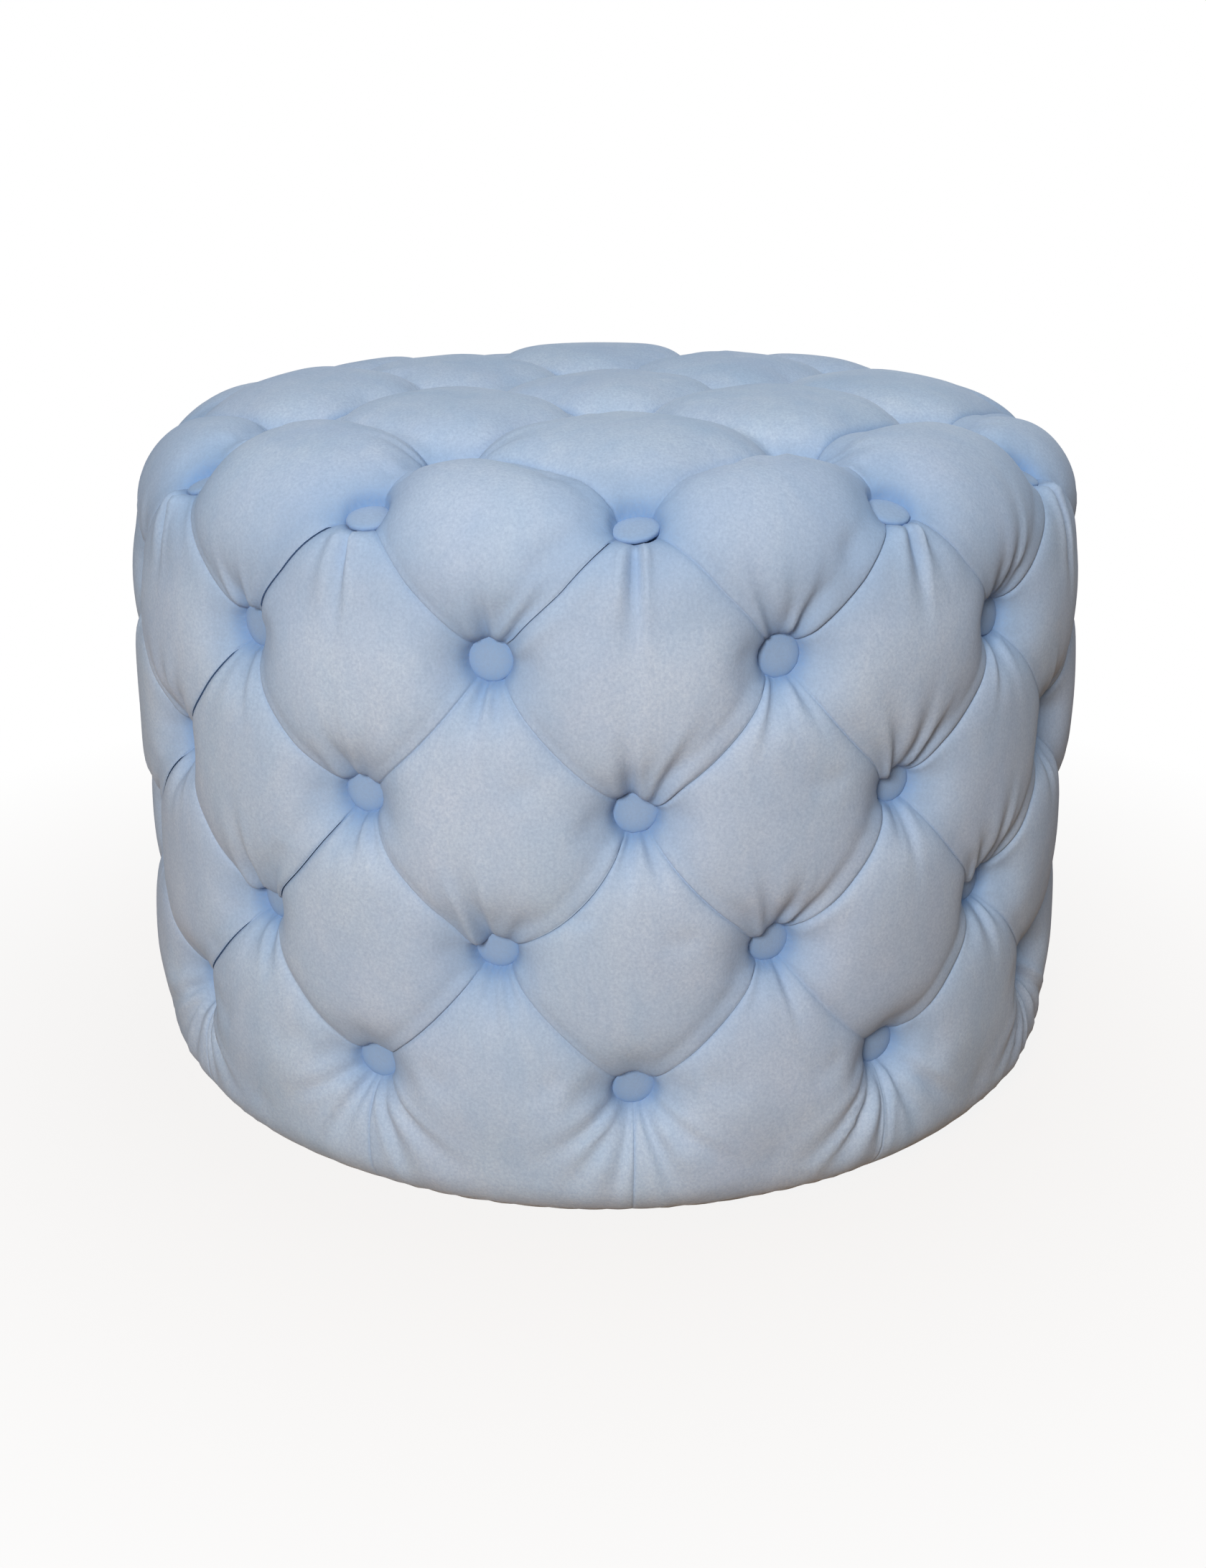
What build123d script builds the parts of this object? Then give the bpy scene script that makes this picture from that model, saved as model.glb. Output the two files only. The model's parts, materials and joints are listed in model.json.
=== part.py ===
"""Round deep-buttoned pouf: a notched drum of boards and battens, foam, and a tufted velvet cover.

Millimetres. Z is up, the floor is Z = 0 and the drum's axis is the Z axis.
The front is -Y, and azimuths are measured from the front towards +X.
"""

import os
from math import cos, degrees, radians, sin, sqrt

from build123d import *

# Drum frame
board_radius = 218.0
board_thickness = 18.0
batten_count = 8
batten_width = 44.0
batten_depth = 22.0
batten_length = 307.0
batten_fit = 0.1
wall_thickness = 4.0
wall_fit = 0.2
wall_joint = 0.6

# Soft layers, from the drum outwards
side_foam_thickness = 30.0
foam_fit = 0.2
top_foam_thickness = 51.0
foam_edge = 8.0
fill_thickness = 13.7
hem_thickness = 2.0
hem_width = 62.0
foot_edge = 12.0

# Puffs of the tufted cover
side_puff_rise = 24.0
side_puff_reach = 50.0
top_puff_rise = 32.0
top_puff_reach = 58.0
rim_puff_rise = 16.0
rim_puff_reach = 50.0
foot_puff_reach = 45.0
puff_sink = 3.0
pleat_width = 2.0

# Button pattern
columns = 12
side_rows = 4
lowest_row_height = 83.0
top_row_drop = 70.0
lattice_reach = 2.9

# Buttons and their ties
button_radius = 11.0
button_sides = 12
button_thickness = 6.0
button_taper = 22.0
button_gap = 0.3
button_surround = 1.0
twine_width = 1.6
twine_fit = 0.2
toggle_length = 14.0
toggle_width = 3.0
toggle_thickness = 2.8
toggle_fit = 0.25

# Underside
dust_cover_lap = 12.0
dust_cover_thickness = 1.0
glide_count = 4
glide_inset = 53.0
glide_radius = 13.0
glide_sides = 12
glide_height = 6.0
glide_taper = 15.0

# Staples
staple_length = 11.0
staple_width = 1.3
staple_thickness = 0.6
hem_staples = 24
dust_staples = 16
wall_staple_rows = 2
wall_staple_spread = 11.0
hem_staple_margin = 10.0
dust_staple_inset = 5.0

# Levels and radii that follow from the sizes above
dust_level = glide_height
hem_level = dust_level + dust_cover_thickness
base_level = hem_level + hem_thickness
top_board_level = base_level + batten_length - board_thickness
foam_level = base_level + batten_length
foam_top_level = foam_level + top_foam_thickness
wall_radius = board_radius + wall_fit + wall_thickness
side_foam_inner = wall_radius + staple_thickness + foam_fit
side_foam_radius = side_foam_inner + side_foam_thickness
toggle_room = toggle_thickness + 2 * toggle_fit
cavity_radius = side_foam_radius + toggle_room
cavity_level = foam_top_level + toggle_room
fill_radius = cavity_radius + fill_thickness
fill_level = cavity_level + fill_thickness
batten_face = sqrt(board_radius**2 - (batten_width / 2) ** 2)
hem_inner_radius = cavity_radius - hem_width
dust_cover_radius = hem_inner_radius + dust_cover_lap
glide_ring = board_radius - glide_inset

# Sloping edges keep the layers' thickness, so each is wider than the one inside it
edge_growth = 2 - sqrt(2)
cavity_edge = foam_edge + toggle_room * edge_growth
shoulder_edge = cavity_edge + fill_thickness * edge_growth

# Rows of buttons
column_step = 360 / columns
row_pitch = (fill_level - top_row_drop - lowest_row_height) / (side_rows - 1)
row_heights = [lowest_row_height + row_pitch * i for i in range(side_rows)]
rim_radius = fill_radius - shoulder_edge / 2
rim_height = fill_level - shoulder_edge / 2

# The rim row lies a few lattice pitches from the axis
lattice_pitch = rim_radius / lattice_reach
button_room = button_radius + button_surround


def drum_point(radius, azimuth, level):
    """Point at a radius, an azimuth from the front and a level."""
    return Vector(radius * sin(radians(azimuth)), -radius * cos(radians(azimuth)), level)


def lattice_point(x, y):
    """Point of the top's square lattice, in pitches from the centre."""
    return Vector(x * lattice_pitch, y * lattice_pitch, fill_level)


def rim_point(azimuth):
    """Point on the shoulder's slope, where a button of the rim sits."""
    return drum_point(rim_radius, azimuth, rim_height)


def seat(point, normal):
    """Plane on the fill's surface with its X axis level, for a button and what ties it."""
    level = Vector(0, 0, 1).cross(normal)
    if level.length < 0.01:
        level = Vector(1, 0, 0)
    return Plane(origin=point, x_dir=level, z_dir=normal)


def side_azimuths(row):
    """Azimuths of a side row's buttons, which alternate by half a column from the rim down."""
    shift = column_step / 2 * ((side_rows - row) % 2)
    return [column_step * i + shift for i in range(columns)]


def side_seats(row):
    """Seats of one row of buttons round the side."""
    places = [(a, drum_point(fill_radius, a, row_heights[row])) for a in side_azimuths(row)]
    return [seat(point, drum_point(1, azimuth, 0)) for azimuth, point in places]


def rim_seats():
    """Seats of the row of buttons on the shoulder."""
    azimuths = [column_step * i for i in range(columns)]
    return [seat(rim_point(azimuth), drum_point(1, azimuth, 1)) for azimuth in azimuths]


def top_seats(places):
    """Seats of buttons on the flat of the top, at places given in lattice pitches."""
    return [seat(lattice_point(x, y), Vector(0, 0, 1)) for x, y in places]


def clipped(corners, tied):
    """Corners of an outline, with the first few cut back to leave room for their buttons."""
    points = []
    for i, corner in enumerate(corners):
        if i < tied:
            before = (corners[i - 1] - corner).normalized()
            after = (corners[(i + 1) % len(corners)] - corner).normalized()
            cut_length = button_room / cos(radians(before.get_angle(after) / 2))
            points.append(corner + before * cut_length)
            points.append(corner + after * cut_length)
        else:
            points.append(corner)
    return points


def puff(plane, corners, crown, reach, tied):
    """Puff on an outline: from every edge an arc rises to the crown, level at its reach.

    The plane lies on the puff's base. An edge's arc starts at the mean level of its two corners,
    and the walls go on below the lowest corner to sink into the fill.
    """
    seated = [plane.to_local_coords(corner) for corner in corners]
    depth = puff_sink - min(corner.Z for corner in seated)
    flat = [Vector(corner.X, corner.Y) for corner in seated]
    middle = sum(flat, Vector()) / len(flat)
    span = 2 * max((corner - middle).length for corner in flat)
    with BuildPart() as body:
        with BuildSketch(plane.offset(-depth)):
            with BuildLine():
                Polyline(*clipped(flat, tied), close=True)
            make_face()
        extrude(amount=depth + crown)
        for i, corner in enumerate(flat):
            along = (flat[i - 1] - corner).normalized()
            inwards = along.rotate(Axis.Z, 90)
            if inwards.dot(middle - corner) < 0:
                inwards = -inwards
            start = corner + inwards * (pleat_width / 2)
            edge_plane = Plane(
                origin=plane.from_local_coords(start),
                x_dir=plane.from_local_coords(start + inwards) - plane.from_local_coords(start),
                z_dir=plane.from_local_coords(start + along) - plane.from_local_coords(start),
            )
            upright = 1 if edge_plane.y_dir.dot(plane.z_dir) > 0 else -1
            start_level = (seated[i - 1].Z + seated[i].Z) / 2
            arc_reach = max(reach, crown - start_level)
            with BuildSketch(edge_plane):
                with BuildLine():
                    Line((0, -upright * depth), (0, upright * start_level))
                    TangentArc((arc_reach, upright * crown), (0, upright * start_level), tangent=(-1, 0))
                    Polyline(
                        (arc_reach, upright * crown),
                        (span, upright * crown),
                        (span, -upright * depth),
                        (0, -upright * depth),
                    )
                make_face()
            extrude(amount=2 * span, both=True, mode=Mode.INTERSECT)
    return body.part


# Side puffs stand on the chord between two neighbouring buttons of a row
chord_radius = fill_radius * cos(radians(column_step / 2))
side_crown = fill_radius + side_puff_rise - chord_radius


def side_plane(azimuth, level):
    """Upright plane under a side puff, facing outwards."""
    return Plane(
        origin=drum_point(chord_radius, azimuth, level),
        x_dir=drum_point(1, azimuth + 90, 0),
        z_dir=drum_point(1, azimuth, 0),
    )


def side_puff(azimuth, low, middle, high):
    """Diamond puff on the side, with its corners on buttons at three levels."""
    half = column_step / 2
    corners = [
        drum_point(chord_radius, azimuth, low),
        drum_point(fill_radius, azimuth + half, middle),
        drum_point(chord_radius, azimuth, high),
        drum_point(fill_radius, azimuth - half, middle),
    ]
    return puff(side_plane(azimuth, middle), corners, side_crown, side_puff_reach, 4)


def foot_puff(azimuth):
    """Puff under the lowest row: a corner above, two upright pleats and a roll at the foot."""
    half = column_step / 2
    low, high = row_heights[0], row_heights[1]
    corners = [
        drum_point(fill_radius, azimuth + half, low),
        drum_point(chord_radius, azimuth, high),
        drum_point(fill_radius, azimuth - half, low),
        drum_point(fill_radius, azimuth - half, hem_level),
        drum_point(fill_radius, azimuth + half, hem_level),
    ]
    return puff(side_plane(azimuth, low), corners, side_crown, foot_puff_reach, 3)


def rim_puff(azimuth, inner_corners):
    """Puff over the shoulder, from the top side row to one or two lattice buttons of the top."""
    half = column_step / 2
    low = drum_point(fill_radius, azimuth, row_heights[-1])
    corners = [low, rim_point(azimuth + half)]
    corners += [lattice_point(x, y) for x, y in inner_corners]
    corners.append(rim_point(azimuth - half))
    plane = Plane(
        origin=(corners[1] + corners[-1]) / 2,
        x_dir=drum_point(1, azimuth + 90, 0),
        z_dir=drum_point(1, azimuth, 1),
    )
    crown = (rim_point(azimuth) - plane.origin).dot(plane.z_dir) + rim_puff_rise
    return puff(plane, corners, crown, rim_puff_reach, len(corners))


def top_puff(*corners):
    """Diamond puff on the flat of the top, between four buttons."""
    plane = Plane.XY.offset(fill_level)
    return puff(plane, corners, top_puff_rise, top_puff_reach, 4)


def staple_group(planes):
    """Staple crowns lying on the planes; their legs are driven in and not shown."""
    with BuildPart() as group:
        with BuildSketch(*planes):
            Rectangle(staple_length, staple_width)
        extrude(amount=staple_thickness)
    return group.part


def underside_planes(radius, count, level):
    """Planes that face down, round a circle on the underside."""
    azimuths = [360 / count * i for i in range(count)]
    return [
        Plane(origin=drum_point(radius, a, level), x_dir=drum_point(1, a + 90, 0), z_dir=(0, 0, -1))
        for a in azimuths
    ]


def save(part, name):
    """Label a piece and write it to its own file."""
    part.label = name
    export_step(part, f"parts/{name}.step")


os.makedirs("parts", exist_ok=True)

# Boards, notched at the rim for the battens
for name, level in (("base_board", base_level), ("top_board", top_board_level)):
    with BuildPart() as board:
        with BuildSketch(Plane.XY.offset(level)):
            Circle(board_radius)
            with PolarLocations(batten_face - batten_depth - batten_fit, batten_count):
                Rectangle(
                    2 * batten_depth,
                    batten_width + 2 * batten_fit,
                    align=(Align.MIN, Align.CENTER),
                    mode=Mode.SUBTRACT,
                )
        extrude(amount=board_thickness)
    save(board.part, name)

# Battens, let into the notches over the drum's whole height
for i in range(batten_count):
    place = Plane.XY.offset(base_level).rotated((0, 0, 360 / batten_count * i))
    with BuildPart() as batten:
        with BuildSketch(place):
            with Locations((batten_face, 0)):
                Rectangle(batten_depth, batten_width, align=(Align.MAX, Align.CENTER))
        extrude(amount=batten_length)
    save(batten.part, f"batten_{i + 1}")

# Hardboard wall in two half rounds, meeting on the side battens
for name, facing in (("wall_front", -1), ("wall_rear", 1)):
    with BuildPart() as wall:
        with BuildSketch(Plane.XY.offset(base_level)):
            Circle(wall_radius)
            Circle(board_radius + wall_fit, mode=Mode.SUBTRACT)
            with Locations((0, facing * wall_joint / 2)):
                Rectangle(
                    3 * wall_radius,
                    3 * wall_radius,
                    align=(Align.CENTER, Align.MIN if facing < 0 else Align.MAX),
                    mode=Mode.SUBTRACT,
                )
        extrude(amount=batten_length)
    save(wall.part, name)

# Foam wrap round the drum and foam pad on top of it
with BuildPart() as side_foam:
    with BuildSketch(Plane.XY.offset(base_level)):
        Circle(side_foam_radius)
        Circle(side_foam_inner, mode=Mode.SUBTRACT)
    extrude(amount=batten_length)
save(side_foam.part, "side_foam")

with BuildPart() as top_foam:
    with BuildSketch(Plane.XY.offset(foam_level)):
        Circle(side_foam_radius)
    extrude(amount=top_foam_thickness)
    chamfer(top_foam.faces().sort_by(Axis.Z)[-1].edges(), foam_edge)
save(top_foam.part, "top_foam")

# Button seats, by rows
top_inner = [(1, 0), (0, 1), (-1, 0), (0, -1)]
top_outer = [(x * i, y * j) for x, y in ((1, 2), (2, 1)) for i in (-1, 1) for j in (-1, 1)]
seats = {"top_inner": top_seats(top_inner), "top_outer": top_seats(top_outer)}
seats["rim"] = rim_seats()
for row in range(side_rows):
    seats[f"side_{side_rows - row}"] = side_seats(row)

# Puffs of the tufted cover
puffs = []
for i in range(columns):
    puffs.append(foot_puff(column_step * (i + 0.5)))
for row in range(1, side_rows):
    levels = row_heights[row - 1 : row + 2]
    if len(levels) < 3:
        levels.append(rim_height)
    for azimuth in side_azimuths(row - 1):
        puffs.append(side_puff(azimuth, *levels))
for quarter in range(4):
    first_puffs = [
        rim_puff(column_step * 0.5, [(1, -2)]),
        rim_puff(column_step * 1.5, [(2, -1), (1, -2)]),
        rim_puff(column_step * 2.5, [(2, -1)]),
        top_puff(lattice_point(0, -1), lattice_point(-1, -2), rim_point(0), lattice_point(1, -2)),
        top_puff(*[lattice_point(x, y) for x, y in ((1, 0), (0, -1), (1, -2), (2, -1))]),
    ]
    puffs += [part.rotate(Axis.Z, 90 * quarter) for part in first_puffs]
puffs.append(top_puff(*[lattice_point(x, y) for x, y in ((0, -1), (1, 0), (0, 1), (-1, 0))]))

# Tufted cover: velvet and fill as one soft shell, with its puffs, twine holes and turned-under hem
with BuildPart() as cover:
    with BuildSketch(Plane.XZ):
        with BuildLine():
            Polyline(
                (0, hem_level),
                (fill_radius - foot_edge, hem_level),
                (fill_radius, hem_level + foot_edge),
                (fill_radius, fill_level - shoulder_edge),
                (fill_radius - shoulder_edge, fill_level),
                (0, fill_level),
                close=True,
            )
        make_face()
    revolve(axis=Axis.Z)
    add(puffs)
    with BuildSketch(Plane.XZ):
        with BuildLine():
            Polyline(
                (0, hem_level),
                (hem_inner_radius, hem_level),
                (hem_inner_radius, base_level),
                (cavity_radius, base_level),
                (cavity_radius, cavity_level - cavity_edge),
                (cavity_radius - cavity_edge, cavity_level),
                (0, cavity_level),
                close=True,
            )
        make_face()
    revolve(axis=Axis.Z, mode=Mode.SUBTRACT)
    with BuildSketch(*[place for places in seats.values() for place in places]):
        Rectangle(twine_width + 2 * twine_fit, twine_width + 2 * twine_fit)
    extrude(amount=-(fill_thickness + toggle_fit), mode=Mode.SUBTRACT)
save(cover.part, "tufted_cover")

# Covered buttons, the twines behind them and the toggles that the twines are tied to
for name, places in seats.items():
    with BuildPart() as buttons:
        with BuildSketch(*[place.offset(button_gap) for place in places]):
            RegularPolygon(button_radius, button_sides)
        extrude(amount=button_thickness, taper=button_taper)
    save(buttons.part, f"buttons_{name}")

    with BuildPart() as twines:
        with BuildSketch(*[place.offset(button_gap) for place in places]):
            Rectangle(twine_width, twine_width)
        extrude(amount=-(button_gap + fill_thickness + toggle_fit))
    save(twines.part, f"twines_{name}")

    with BuildPart() as toggles:
        with BuildSketch(*[place.offset(-fill_thickness - toggle_fit) for place in places]):
            Rectangle(toggle_length, toggle_width)
        extrude(amount=-toggle_thickness)
    save(toggles.part, f"toggles_{name}")

# Dust cover under the drum, and the glides that it stands on
with BuildPart() as dust_cover:
    with BuildSketch(Plane.XY.offset(dust_level)):
        Circle(dust_cover_radius)
    extrude(amount=dust_cover_thickness)
save(dust_cover.part, "dust_cover")

with BuildPart() as glides:
    with BuildSketch(Plane.XY.offset(glide_height)):
        with PolarLocations(glide_ring, glide_count, start_angle=180 / glide_count):
            RegularPolygon(glide_radius, glide_sides)
    extrude(amount=-glide_height, taper=glide_taper)
save(glides.part, "glides")

# Staples of the wall, the hem and the dust cover
wall_planes = []
for i in range(batten_count):
    for side in (-1, 1):
        azimuth = 360 / batten_count * i + side * degrees(wall_staple_spread / wall_radius)
        for row in range(wall_staple_rows):
            level = base_level + batten_length * (row + 0.5) / wall_staple_rows
            wall_planes.append(
                Plane(
                    origin=drum_point(wall_radius, azimuth, level),
                    x_dir=(0, 0, 1),
                    z_dir=drum_point(1, azimuth, 0),
                )
            )
save(staple_group(wall_planes), "wall_staples")
hem_circle = dust_cover_radius + hem_staple_margin
save(staple_group(underside_planes(hem_circle, hem_staples, hem_level)), "hem_staples")
dust_circle = dust_cover_radius - dust_staple_inset
save(staple_group(underside_planes(dust_circle, dust_staples, dust_level)), "dust_staples")
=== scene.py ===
import json
from collections import namedtuple
from functools import partial

import bmesh
import bpy
import numpy as np
from mathutils import Euler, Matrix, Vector


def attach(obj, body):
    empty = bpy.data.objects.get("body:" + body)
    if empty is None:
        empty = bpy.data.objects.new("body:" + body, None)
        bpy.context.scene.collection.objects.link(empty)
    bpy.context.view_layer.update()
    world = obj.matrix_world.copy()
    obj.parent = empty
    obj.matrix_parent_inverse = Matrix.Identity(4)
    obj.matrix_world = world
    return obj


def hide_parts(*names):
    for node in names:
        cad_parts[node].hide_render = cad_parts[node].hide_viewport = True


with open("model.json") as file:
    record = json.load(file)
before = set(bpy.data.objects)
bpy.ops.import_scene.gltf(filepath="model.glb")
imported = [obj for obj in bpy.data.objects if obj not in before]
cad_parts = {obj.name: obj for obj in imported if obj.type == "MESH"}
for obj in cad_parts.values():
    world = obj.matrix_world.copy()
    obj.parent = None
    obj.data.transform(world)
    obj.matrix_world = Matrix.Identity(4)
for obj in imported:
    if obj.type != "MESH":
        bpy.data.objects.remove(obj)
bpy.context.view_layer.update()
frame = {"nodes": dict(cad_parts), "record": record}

# Round deep-buttoned velvet pouf. Metres, the floor is Z = 0, the front is -Y and azimuths run from
# the front towards +X. The cover is worked out on a flat chart of the drum: its distance runs from
# the middle of the top, over the shoulder and down the side to the hem.

scene = bpy.context.scene

# Drum under the buttons, and the points of its section
SIDE_RADIUS = 0.270
TOP_LEVEL = 0.384
SHOULDER_ROUND = 0.034
FOOT_LEVEL = 0.032
FOOT_REACH = 0.006
HEM_LEVEL = 0.0074
HEM_INNER = 0.1945
ROUND_POINTS, TOP_POINTS, SIDE_POINTS, HEM_POINTS = 60, 79, 100, 29

# Room inside the cover
CAVITY_RADIUS = 0.2563
CAVITY_LEVEL = 0.3703
CAVITY_EDGE = 0.010
CAVITY_MIDDLE = (0, 0, 0.2)
HEM_TOP = 0.009

# Places of the buttons
COLUMNS = 12
STEP = 2 * np.pi / COLUMNS
SIDE_LEVELS = (0.314, 0.237, 0.160, 0.083)
RIM_RISE = np.radians(52)
TOP_PITCH = 0.090

# Covered buttons; the tip is how far they lean at random
BUTTON_RADIUS = 0.0118
BUTTON_DOME = 0.0032
BUTTON_DOME_POWER = 0.32
BUTTON_SINK = 0.0022
BUTTON_TUCK, BUTTON_BACK = 0.86, -0.12
BUTTON_TIP = 0.07
BUTTON_OVAL, BUTTON_PHASES = 0.02, (0, 6)
BUTTON_PUCKERS, PUCKER_DEPTH = 11, 0.012
BUTTON_RINGS, BUTTON_SIDES = 12, 28
# Shares of painted shade on the buttons: side rows, other rows, and more towards the edge
BUTTON_SHADE, PALE_BUTTON_SHADE, BUTTON_EDGE_SHADE = 0.78, 0.62, 0.20
RIM_TILT = 0.32

# Pleats: how far they bow down the side and sway; on the top the sway is a share of the length
PLEAT_POINTS = 129
SIDE_STRETCH = 1.04
SIDE_BOW, RIM_BOW, BOW_SPREAD = 0.0060, -0.0035, 0.0018
SIDE_SWAY, HEM_SWAY, TOP_SWAY = 0.002, 0.006, 0.02
ROOT_DEPTH, ROOT_WIDTH, ROOT_START, ROOT_BLEND = 0.0006, 0.0012, 0.010, 0.006

# Puffs: rise of their edges over the valleys, and of their crowns over the edges
SIDE_EDGE_RISE, SIDE_CROWN = 0.0155, 0.0060
TOP_EDGE_RISE, TOP_CROWN = 0.0160, 0.0165
FOOT_EDGE_GAIN, FOOT_CROWN_LOSS = 0.0015, 0.0045
PUFF_REACH = 0.046
PUFF_SPREAD = 0.05
PUFF_SAG = 0.16
SHOULDER_LOSS, SHOULDER_BAND = 0.50, 0.045
TOP_BLEND_START, TOP_BLEND = 0.02, 0.06
FOOT_BLEND_START, FOOT_BLEND = 0.004, 0.040
FOOT_FADE_POWER = 0.9
WAVE_RISE, WAVE_LENGTH, WAVE_COUNT = 0.0009, 0.11, 9
WAVE_START, WAVE_BLEND, WAVE_SHARES = 0.012, 0.03, (0.7, 1.5)

# Flaps where a puff laps over a pleat
FLAP_WIDTH, FLAP_SLOPE = 0.0075, 0.12
FLAP_STEP, FLAP_STEP_REACH, UNDER_STEP = 0.0008, 0.0065, -0.15
FLAP_SHIFT, FLAP_SHIFT_PLACE = 0.0011, 0.0022
FLAP_START, FLAP_GROWTH = 0.008, 0.016
STRONG_LAP, WEAK_LAP, LAP_SPREAD = 1.2, 0.5, 0.25
LEAST_LAP, MOST_LAP = 0.2, 1.6

# Dimples round the buttons, and the small knots of cloth under the rim's buttons
DIMPLE_START, DIMPLE_POWER = 0.0098, 3.2
DIMPLE_REACH, RIM_DIMPLE_REACH = 0.044, 0.033
HOLE_DEPTH, HOLE_EDGE, HOLE_BLEND = 0.0055, 0.0090, 0.0045
KNOT_RISE, KNOT_WIDTH, KNOT_HEIGHT, KNOT_DROP = 0.0060, 0.010, 0.006, 0.0130

# Corners of the puffs that droop over the buttons below them
DROOP = {"side_1": 0.0030, "side_2": 0.0075, "side_3": 0.0085, "side_4": 0.0045}
DROOP_ASIDE, DROOP_WIDTH = 0.0085, 0.0075
DROOP_ABOVE, DROOP_HEIGHT = 0.014, 0.009

# Folds that fan out from the buttons: a fan's middle direction, its spread and its folds' turns in
# degrees, then the range of the folds' sizes and of their reach
FOLD_DEPTH = 0.0017
FOLD_WIDTH, FOLD_WIDENING = 0.0021, 0.040
FOLD_START, FOLD_GROWTH, FOLD_FULL = 0.008, 0.008, 0.014
STEEP_SIDE, SHALLOW_SIDE, SIDE_SWAPS = 0.65, 1.35, 7
BANK_SHARE, BANK_PLACE = 0.45, 2.1
FAN_RADIUS, FOLD_PLEAT_GAP = 0.075, 0.004
Fan = namedtuple("Fan", "middle spread turns sizes reach")
LOWEST_FANS = [Fan(-90, 4, (-52, -30, -11, 24, 48), (1.4, 2.8), (0.026, 0.046))]
SIDE_FANS = [
    Fan(-90, 7, (-16, 2, 18), (0.5, 1.7), (0.013, 0.026)),
    Fan(90, 7, (-30, -8, 16), (0.6, 2.2), (0.016, 0.034)),
]
RIM_FAN, RIM_SMALL_FOLD = Fan(-90, 5, (0, 30), (2.6, 3.6), (0.015, 0.021)), 0.6
TOP_FOLDS, TOP_FOLD_SIZES, TOP_FOLD_REACH = 3, (0.5, 1.4), (0.02, 0.034)

# Fineness of the cover, of its welds and of the cloth that is simulated on it
EDGE_CELLS, EDGE_SPREAD = 21, 0.75
WELD_STEP, WELD_OFFSET = 1e-6, 0.37
CLOTH_CELLS, CLOTH_CAP, CLOTH_FRAMES = 8, 0.0028, 20
HELD_ROUND_BUTTON, HELD_OVER_HEM = 0.013, 0.02

# Painted shade on the velvet: its share along pleats and lapped pleats, and where it fades out over the
# foot
PLEAT_SHADE, LAP_SHADE, PLEAT_SHADE_REACH = 0.35, 0.35, 0.004
FOOT_SHADE_START, FOOT_SHADE_BLEND = 0.03, 0.05

# Camera of the photograph, in its pixels, and its place
PHOTO_WIDTH, FOCAL_PIXELS, SHIFT_PIXELS = 1680, 2360, (-3, -74)
SENSOR_WIDTH = 36.0
CAMERA_SIDE, CAMERA_REACH, CAMERA_LEVEL = np.radians(-3.2), 1.050, 0.547
CAMERA_PITCH = np.radians(71.06)

# Floor: half its width, and where its shadow fades to white
FLOOR_HALF = 8
SHADOW_START, SHADOW_END, SHADOW_WHITE = 0.3, 0.7, 0.88

rng = np.random.default_rng(41)


# Chart of the drum


def valley_section():
    """Half section of the cover through its valleys, as distance, radius and level of many points.

    Flat top, quarter round shoulder, upright side, quarter ellipse at the foot, flat hem below.
    """
    turn = np.linspace(0, np.pi / 2, ROUND_POINTS)
    inner = SIDE_RADIUS - SHOULDER_ROUND
    side = np.linspace(TOP_LEVEL - SHOULDER_ROUND, FOOT_LEVEL, SIDE_POINTS + 2)[1:-1]
    foot = FOOT_LEVEL - (FOOT_LEVEL - HEM_LEVEL) * np.sin(turn)
    hem = np.linspace(SIDE_RADIUS - FOOT_REACH, HEM_INNER, HEM_POINTS + 1)[1:]
    runs = [
        (np.linspace(0, inner, TOP_POINTS + 1)[:-1], np.full(TOP_POINTS, TOP_LEVEL)),
        (inner + SHOULDER_ROUND * np.sin(turn), TOP_LEVEL - SHOULDER_ROUND * (1 - np.cos(turn))),
        (np.full(SIDE_POINTS, SIDE_RADIUS), side),
        (SIDE_RADIUS - FOOT_REACH * (1 - np.cos(turn)), foot),
        (hem, np.full(HEM_POINTS, HEM_LEVEL)),
    ]
    radius, level = np.concatenate(runs, axis=1)
    steps = np.hypot(np.diff(radius), np.diff(level))
    return np.concatenate([[0], np.cumsum(steps)]), radius, level


DISTANCE, RADIUS, LEVEL = valley_section()
SHOULDER_START = SIDE_RADIUS - SHOULDER_ROUND
SIDE_START = SHOULDER_START + SHOULDER_ROUND * np.pi / 2
FOOT_START = SIDE_START + TOP_LEVEL - SHOULDER_ROUND - FOOT_LEVEL
SHOULDER_MIDDLE = SHOULDER_START + SHOULDER_ROUND * np.pi / 4
HEM_END = DISTANCE[-1]
HEM_START = HEM_END - (SIDE_RADIUS - FOOT_REACH - HEM_INNER)
OUT_R = np.gradient(LEVEL, DISTANCE) * -1
OUT_Z = np.gradient(RADIUS, DISTANCE)


def on_drum(azimuth, distance, rise):
    """Points over the valleys' surface: the section's point, moved out along its normal by the rise."""
    out_r = np.interp(distance, DISTANCE, OUT_R)
    out_z = np.interp(distance, DISTANCE, OUT_Z)
    size = np.hypot(out_r, out_z)
    radius = np.interp(distance, DISTANCE, RADIUS) + rise * out_r / size
    level = np.interp(distance, DISTANCE, LEVEL) + rise * out_z / size
    return np.stack([radius * np.sin(azimuth), -radius * np.cos(azimuth), level], -1)


def side_distance(level):
    """Chart distance of a level on the upright side."""
    return SIDE_START + TOP_LEVEL - SHOULDER_ROUND - level


def half_turned(angle):
    """Angle brought into the range of half a turn to either side."""
    return (angle + np.pi) % (2 * np.pi) - np.pi


def flat(azimuth, distance):
    """Chart of the top: distance and azimuth as plane coordinates, with the front at -Y."""
    return np.stack([distance * np.sin(azimuth), -distance * np.cos(azimuth)], -1)


def from_flat(points):
    """Azimuth and distance of points on the top's chart."""
    return np.arctan2(points[:, 0], -points[:, 1]), np.hypot(points[:, 0], points[:, 1])


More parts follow.
